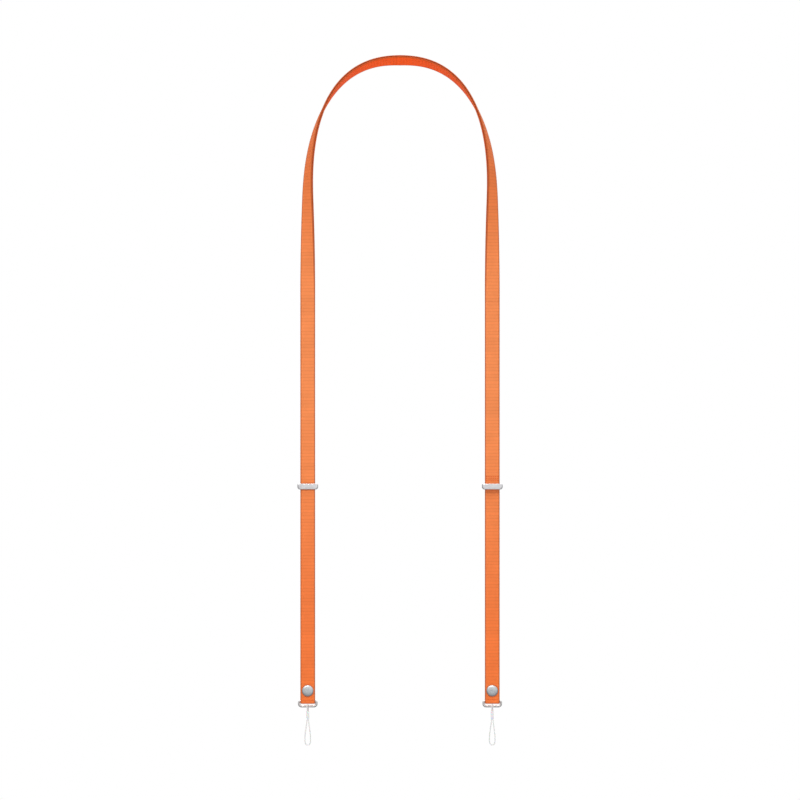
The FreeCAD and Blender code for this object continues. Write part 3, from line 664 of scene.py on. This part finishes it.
class StrapLine:
    """The middle line of a strap from its flap to its sewn end, and the way its face looks.

    Distances along it are measured from the middle of the neck, negative towards the flap.
    """

    def __init__(self, side):
        self.points, self.normals, self.lengths = [], [], []
        self.marks = {"start": 0.0}
        self.own = -LAYER if side == "left" else LAYER
        self.own_x = -LEG_OFFSET if side == "left" else LEG_OFFSET
        self.add_flap_and_fold()
        self.run((self.own_x, self.own_depth(), LEG_TOP), FRONT)
        self.mark("leg_top")
        steps = 1048
        for step in range(1, steps):
            distance = math.copysign(TWIST_PATH, self.own_x) * (1 - 2 * step / steps)
            normal = arch_normal(distance)
            self.add(arch_place(distance) - normal * self.own, normal)
        self.run((-self.own_x, self.own_depth(), LEG_TOP), FRONT)
        self.mark("arch_end")
        self.run((-self.own_x, self.own_depth(), LOOP_TOP), FRONT)
        self.mark("loop_top")
        self.add_sewn_end()
        self.mark("end")
        neck = (self.marks["leg_top"] + self.marks["arch_end"]) / 2
        self.lengths = [length - neck for length in self.lengths]
        self.marks = {name: length - neck for name, length in self.marks.items()}

    def own_depth(self):
        return LEG_DEPTH + self.own

    def mark(self, name):
        self.marks[name] = self.lengths[-1]

    def add(self, point, normal):
        point = Vector(point)
        if self.points:
            step = (point - self.points[-1]).length
            if step < 1e-7:
                return
            self.lengths.append(self.lengths[-1] + step)
        else:
            self.lengths.append(0.0)
        self.points.append(point)
        self.normals.append(Vector(normal).normalized())

    def run(self, end, normal, spacing=0.5 * MM):
        """A straight run to a point."""
        start, end = self.points[-1].copy(), Vector(end)
        steps = max(2, round((end - start).length / spacing))
        for step in range(1, steps + 1):
            self.add(start.lerp(end, step / steps), normal)

    def add_flap_and_fold(self):
        bar_depth = self.own_depth() + FOLD_RADIUS
        self.add((self.own_x, bar_depth + FOLD_RADIUS, FLAP_TOP), BACK)
        self.run((self.own_x, bar_depth + FOLD_RADIUS, BAR_HEIGHT), BACK)
        self.mark("fold_start")
        steps = 40
        for step in range(1, steps + 1):
            angle = math.pi * step / steps
            away = Vector((0, math.cos(angle), -math.sin(angle)))
            self.add(Vector((self.own_x, bar_depth, BAR_HEIGHT)) + away * FOLD_RADIUS, away)
        self.mark("fold_end")

    def add_sewn_end(self):
        """Over the tail, round the slider's pin and up again as the tail."""
        out = math.copysign(1, self.own)
        pin_low, pin_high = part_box("left_slider_pin")
        pin_depth = (pin_low.y + pin_high.y) / 2 - LEG_DEPTH
        turn = pin_depth - LAYER
        seam_gap, tail_top, spare, seam_end, lead = 0.05 * MM, 9.4 * MM, 0.9 * MM, 4.2 * MM, 0.8 * MM
        over_tail = LAYER + STRAP_THICK + seam_gap
        top = LOOP_TOP - SLIDER_HEIGHT
        ease = [(LAYER, top - lead), (over_tail, tail_top + spare), (over_tail, seam_end),
                (pin_depth + turn, lead), (pin_depth + turn, 0)]
        course = [(LAYER, top), ease[0]]
        for (depth, height), (next_depth, next_height) in zip(ease, ease[1:]):
            steps = max(4, round((height - next_height) / (0.12 * MM)))
            for step in range(1, steps + 1):
                share = step / steps
                smooth = share * share * (3 - 2 * share)
                course.append((depth + (next_depth - depth) * smooth,
                               height + (next_height - height) * share))
        turn_steps, tail_steps = 40, 30
        for step in range(1, turn_steps + 1):
            angle = math.pi * step / turn_steps
            course.append((pin_depth + turn * math.cos(angle), -turn * math.sin(angle)))
        for step in range(1, tail_steps + 1):
            course.append((LAYER, tail_top * step / tail_steps))
        places = [Vector((-self.own_x, LEG_DEPTH + out * depth, SLIDER_HEIGHT + height))
                  for depth, height in course]
        for index, place in enumerate(places):
            ahead = places[min(index + 1, len(places) - 1)] - places[max(index - 1, 0)]
            self.add(place, (0, ahead.z, -ahead.y))

    def at(self, distance):
        """Point, face direction and width direction at a distance along the line."""
        right = min(max(bisect_right(self.lengths, distance), 1), len(self.points) - 1)
        before, after = self.lengths[right - 1], self.lengths[right]
        share = min(max((distance - before) / (after - before), 0), 1)
        point = self.points[right - 1].lerp(self.points[right], share)
        tangent = (self.points[right] - self.points[right - 1]).normalized()
        normal = self.normals[right - 1].lerp(self.normals[right], share)
        normal = (normal - tangent * normal.dot(tangent)).normalized()
        return point, normal, tangent.cross(normal)


# ---------------------------------------------------------------- webbing

RIB_RELIEF = 0.12 * MM
SELVEDGE = 5.6 * MM
CREST_START, CREST_END = 0.28, 0.72


def webbing_section():
    """Round the strap: (across, height, share of the ribs, 0 on the face to 1 on the back)."""
    half, thick = STRAP_WIDTH / 2, STRAP_THICK / 2
    flat = [(share * 5.2 * MM, thick, 1.0) for share in (-1, -0.8, -0.54, -0.27, 0, 0.27, 0.54, 0.8, 1)]
    edge = [(5.5 * MM, thick - 0.13 * MM, 0.4), (5.9 * MM, thick - 0.02 * MM, 0.5),
            (half - 0.1 * MM, thick * 0.55, 0.3)]
    face = [(-x, y, ribs) for x, y, ribs in reversed(edge)] + flat + edge
    section = [(x, y, ribs, 0.0) for x, y, ribs in face]
    section.append((half, 0.0, 0.0, 0.5))
    section += [(x, -y, ribs, 1.0) for x, y, ribs in reversed(face)]
    section.append((-half, 0.0, 0.0, 0.5))
    return section


def valley_height(number):
    """The height of the valley before a rib: every third one is deep."""
    return 0.0 if number % RIBS_PER_GROUP == 0 else 0.45


def rib_height(distance):
    """0 in a deep valley and 1 on a crest."""
    number, phase = divmod(distance / RIB_PITCH, 1.0)
    if phase < CREST_START:
        low = valley_height(number)
        return low + (1 - low) * phase / CREST_START
    if phase > CREST_END:
        low = valley_height(number + 1)
        return low + (1 - low) * (1 - phase) / (1 - CREST_END)
    return 1.0


def rib_relief(line, distance):
    """How much the ribs stand out: less in the middle of the far leg, which a raised slider crowds."""
    least, reach = 0.25, 45 * MM
    crowded = (line.marks["arch_end"] + line.marks["loop_top"]) / 2
    away = min(abs(distance - crowded) / reach, 1.0)
    return RIB_RELIEF * (least + (1 - least) * away * away * (3 - 2 * away))


def ring_distances(start, end):
    """The distances of a piece's rings: three to each rib, and both its ends."""
    clear = 0.02 * MM
    distances = [start]
    rib = math.floor(start / RIB_PITCH)
    while rib * RIB_PITCH < end:
        for phase in (0.0, CREST_START, CREST_END):
            distance = (rib + phase) * RIB_PITCH
            if start + clear < distance < end - clear:
                distances.append(distance)
        rib += 1
    return distances + [end]


def snap_press(distance, across, snap_at):
    """How far a snap's flanges press the webbing in, near its axis."""
    depth, inner, outer = 0.22 * MM, 4.6 * MM, 7.0 * MM
    nearest = min(math.hypot(distance - place, across) for place in snap_at)
    if nearest >= outer:
        return 0.0
    share = min((outer - nearest) / (outer - inner), 1.0)
    return depth * share * share * (3 - 2 * share)


def add_webbing(name, line, start, end, snap_at):
    """One length of a strap, ribbed on both faces."""
    mean_rib, selvedge_share, selvedge_rib = 0.7, 0.75, 0.8
    section = webbing_section()
    sides = len(section)
    distances = ring_distances(start, end)
    vertices, back, cloth = [], [], []
    for distance in distances:
        point, normal, width = line.at(distance)
        rib = rib_height(distance)
        stands_out = rib_relief(line, distance)
        for across, height, ribs, side in section:
            way = 1 if height >= 0 else -1
            press = snap_press(distance, across, snap_at) if height else 0.0
            relief = ribs * (rib - mean_rib) * stands_out
            out = height + way * (relief - press)
            if abs(across) > SELVEDGE:
                across += math.copysign(selvedge_share * stands_out * (rib - selvedge_rib), across)
            vertices.append(point + width * across + normal * out)
            back.append(side)
            cloth.append((across, distance))
    piece = new_piece(name, vertices, tube_faces(len(distances), sides), WEBBING)
    mesh = piece.data
    mesh.attributes.new("back", "FLOAT", "POINT").data.foreach_set("value", back)
    layer = mesh.uv_layers.new(name="cloth")
    corners = []
    for loop in mesh.loops:
        corners.extend(cloth[loop.vertex_index])
    layer.data.foreach_set("uv", corners)
    for polygon in mesh.polygons:
        if len(polygon.vertices) > 4:
            polygon.use_smooth = False
    return piece


def neck_nodes(side):
    """The lengths of a strap over the neck: its nodes on the root body but the leg and ends."""
    own = f"{side}_strap_"
    ends = (own + "leg", own + "far_leg", own + "ring_fold")
    root = frame["record"]["behaviour"]["bodies"]["root"]
    return [node for node in root if node.startswith(own) and node not in ends]


def add_strap(side):
    """A whole strap: its folded end with the flap, its leg and arch, and its sewn far end."""
    line = StrapLine(side)
    marks = line.marks
    snap_height = middle(f"{side}_snap_cap").z
    above_bar = snap_height - BAR_HEIGHT
    snap_at = (marks["fold_start"] - above_bar, marks["fold_end"] + above_bar)

    # The pieces meet in a deep valley of the ribs, where the line between them is hard to see.
    group = RIB_PITCH * RIBS_PER_GROUP
    fold_join = math.ceil(marks["fold_end"] / group) * group
    arch_join = math.floor(marks["arch_end"] / group) * group

    folded = add_webbing(f"{side}_strap_folded_end", line, marks["start"], fold_join, snap_at)
    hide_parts(f"{side}_strap_ring_fold", f"{side}_strap_flap")
    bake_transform(folded)

    main = add_webbing(f"{side}_strap_webbing", line, fold_join, arch_join, snap_at)
    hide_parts(f"{side}_strap_leg", *neck_nodes(side))
    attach(main, "root")

    sewn = add_webbing(f"{side}_strap_sewn_end", line, arch_join, marks["end"], snap_at)
    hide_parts(f"{side}_strap_far_leg", f"{side}_strap_slider_loop")
    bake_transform(sewn)


def add_stitches(side):
    """Three rows of thread, each stitch a short arch that dips into the webbing at its ends."""
    low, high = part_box(f"{side}_slider_stitching")
    columns, rows, half, thick, margin = 6, 3, 0.65 * MM, 0.17 * MM, 0.175 * MM
    front = low.y < LEG_DEPTH
    face, out = (high.y, FRONT) if front else (low.y, BACK)
    bend = ((-1.0, -0.35), (-0.86, 0.02), (-0.5, 0.13), (0.0, 0.16), (0.5, 0.13), (0.86, 0.02),
            (1.0, -0.35))
    vertices, faces = [], []
    for row in range(rows):
        height = low.z + margin + (high.z - low.z - 2 * margin) * row / (rows - 1)
        for column in range(columns):
            x = low.x + half + (high.x - low.x - 2 * half) * column / (columns - 1)
            lean = 0.05 * MM * math.sin(5.1 * column + 2.3 * row)
            course = [Vector((x + share * half, face, height + share * lean)) + out * rise * MM
                      for share, rise in bend]
            fine = []
            for first, second in zip(course, course[1:]):
                fine += [first.lerp(second, step / 3) for step in range(3)]
            fine.append(course[-1])
            tube, quads = sweep(fine, lambda distance, angle: thick, 10, start=len(vertices))
            vertices += tube
            faces += quads
    stitches = new_piece(f"{side}_slider_stitches", vertices, faces, THREAD)
    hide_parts(f"{side}_slider_stitching")
    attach(stitches, f"{side}_slider")


# ---------------------------------------------------------------- sliders and rings

def inset(depth, radius):
    """How far a rounded edge of this radius lies back at a depth below the face."""
    if depth >= radius:
        return 0.0
    return radius - math.sqrt(radius ** 2 - (radius - depth) ** 2)


def add_slider(side):
    """A flat closed metal loop with round ends, cut from a block by a window for the straps."""
    low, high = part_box(f"{side}_slider_frame")
    centre, half = (low + high) / 2, (high - low) / 2
    plate, cheek = 1.1 * MM, 2.1 * MM
    edge_round, end_round = 0.42 * MM, 1.5 * MM
    top_corner, low_corner = 1.1 * MM, 2.3 * MM
    outline = rounded([(half.x, -half.z, low_corner), (half.x, half.z, top_corner),
                       (-half.x, half.z, top_corner), (-half.x, -half.z, low_corner)], True)
    steps = 7
    fractions = [1 - math.cos(math.pi / 2 * step / steps) for step in range(steps + 1)]
    depths = sorted({radius * share for radius in (end_round, edge_round) for share in fractions})
    depths += [2 * half.y - depth for depth in reversed(depths)]
    vertices = []
    for depth in depths:
        from_face = min(depth, 2 * half.y - depth)
        wide = half.x - inset(from_face, end_round)
        tall = half.z - inset(from_face, edge_round)
        for x, z in outline:
            place = Vector((x * wide / half.x, depth - half.y, z * tall / half.z))
            vertices.append(centre + place)
    faces = tube_faces(len(depths), len(outline))
    block = new_piece(f"{side}_slider_loop", vertices, faces, SLIDER_METAL)

    bpy.ops.mesh.primitive_cube_add(size=1, location=centre)
    window = bpy.context.active_object
    window.scale = (2 * (half.x - cheek), 2 * (half.y - plate), 4 * half.z)
    bpy.context.view_layer.update()
    cut = block.modifiers.new("window", "BOOLEAN")
    cut.operation = "DIFFERENCE"
    cut.object = window
    soft = block.modifiers.new("soft_edges", "BEVEL")
    soft.width = 0.16 * MM
    soft.segments = 3
    soft.angle_limit = math.radians(40)
    shown = block.evaluated_get(bpy.context.evaluated_depsgraph_get())
    finished = bpy.data.meshes.new_from_object(shown)
    block.modifiers.clear()
    block.data = finished
    bpy.data.objects.remove(window)
    finished.shade_smooth()
    finished.set_sharp_from_angle(angle=math.radians(35))
    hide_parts(f"{side}_slider_frame")
    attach(block, f"{side}_slider")
    carry_over(f"{side}_slider_pin", SLIDER_METAL)


def add_ring(side):
    """A bent wire ring with tight upper corners and rounder lower ones."""
    low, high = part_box(f"{side}_ring")
    wire = (high.y - low.y) / 2
    half = (high.x - low.x) / 2 - wire
    top, bottom = high.z - wire, low.z + wire
    centre = (low + high) / 2
    outline = rounded([(half, top, 1.2 * MM), (-half, top, 1.2 * MM),
                       (-half, bottom, 2.6 * MM), (half, bottom, 2.6 * MM)], True, 12)
    points = []
    for index, here in enumerate(outline):
        ahead = outline[(index + 1) % len(outline)]
        steps = max(1, round((ahead - here).length / (0.7 * MM)))
        for step in range(steps):
            spot = here.lerp(ahead, step / steps)
            points.append(Vector((centre.x + spot.x, centre.y, spot.y)))
    vertices, faces = sweep(points, lambda distance, angle: wire, 28, closed=True)
    ring = new_piece(f"{side}_wire_ring", vertices, faces, RING_METAL)
    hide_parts(f"{side}_ring")
    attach(ring, f"{side}_ring")


# ---------------------------------------------------------------- snap buttons

def add_snap(side):
    """Cap, socket, stud and post, all turned about the snap's axis."""
    axis = middle(f"{side}_snap_cap")
    front = middle(f"{side}_strap_leg").y - STRAP_THICK / 2
    centre = Vector((axis.x, front, axis.z))

    def turned(name, corners, node, body):
        profile = rounded([(r * MM, y * MM, edge * MM) for r, y, edge in corners], False, 5)
        piece = turned_piece(f"{side}_{name}", profile, centre, SNAP_METAL)
        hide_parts(f"{side}_{node}")
        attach(piece, body)

    thick = STRAP_THICK / MM
    turned("cap_dome", [(0, -1.75, 0), (2.3, -1.68, 8), (4.1, -1.30, 2.2), (4.82, -0.60, 0.8),
                        (5.0, -0.12, 0.25), (4.95, 0.12, 0.12), (4.3, 0.18, 0.1), (1.5, 0.0, 0.1),
                        (1.5, thick + 0.4, 0.1), (1.85, thick + 0.4, 0.05), (1.85, thick + 0.55, 0.05),
                        (0, thick + 0.55, 0)], "snap_cap", "root")
    turned("socket_ring", [(1.53, thick, 0), (4.25, thick, 0.15), (4.25, thick + 1.1, 0.25),
                           (3.95, thick + 1.4, 0.2), (2.45, thick + 1.4, 0.15), (2.45, thick + 1.2, 0.03),
                           (3.0, thick + 1.2, 0.05), (3.0, thick + 0.7, 0.05), (2.45, thick + 0.7, 0.03),
                           (2.45, thick + 0.4, 0.05), (1.53, thick + 0.4, 0), (1.53, thick, 0)],
           "snap_socket", "root")
    flap = 2 * FOLD_RADIUS / MM
    turned("stud_head", [(0, thick + 0.75, 0), (1.7, thick + 0.75, 0.3), (2.1, thick + 1.05, 0.15),
                         (2.1, thick + 1.25, 0.2), (1.75, flap - 0.6, 0.15), (1.75, flap - 0.4, 0.1),
                         (3.7, flap - 0.4, 0.12), (3.9, flap - 0.25, 0.1), (3.9, flap, 0.05),
                         (0, flap, 0)], "snap_stud", f"{side}_flap")
    outer = flap + thick
    turned("post_eyelet", [(0, flap, 0), (1.5, flap, 0.1), (1.5, outer, 0.1), (3.9, outer - 0.05, 0.06),
                           (3.78, outer + 0.32, 0.2), (3.2, outer + 0.6, 0.3), (1.7, outer + 0.6, 0.3),
                           (1.05, outer + 0.3, 0.2), (0.9, outer + 0.1, 0.06), (0, outer + 0.1, 0)],
           "snap_post", f"{side}_flap")
    carry_over(f"{side}_snap_spring", SPRING_METAL)


# ---------------------------------------------------------------- the whole scene

add_camera()
add_surround()
add_lights()
add_floor()
for side, _ in SIDES:
    add_cord(side)
for side, other in SIDES:
    add_strap(side)
    add_stitches(side)
    add_slider(side)
    add_ring(side)
    add_snap(side)
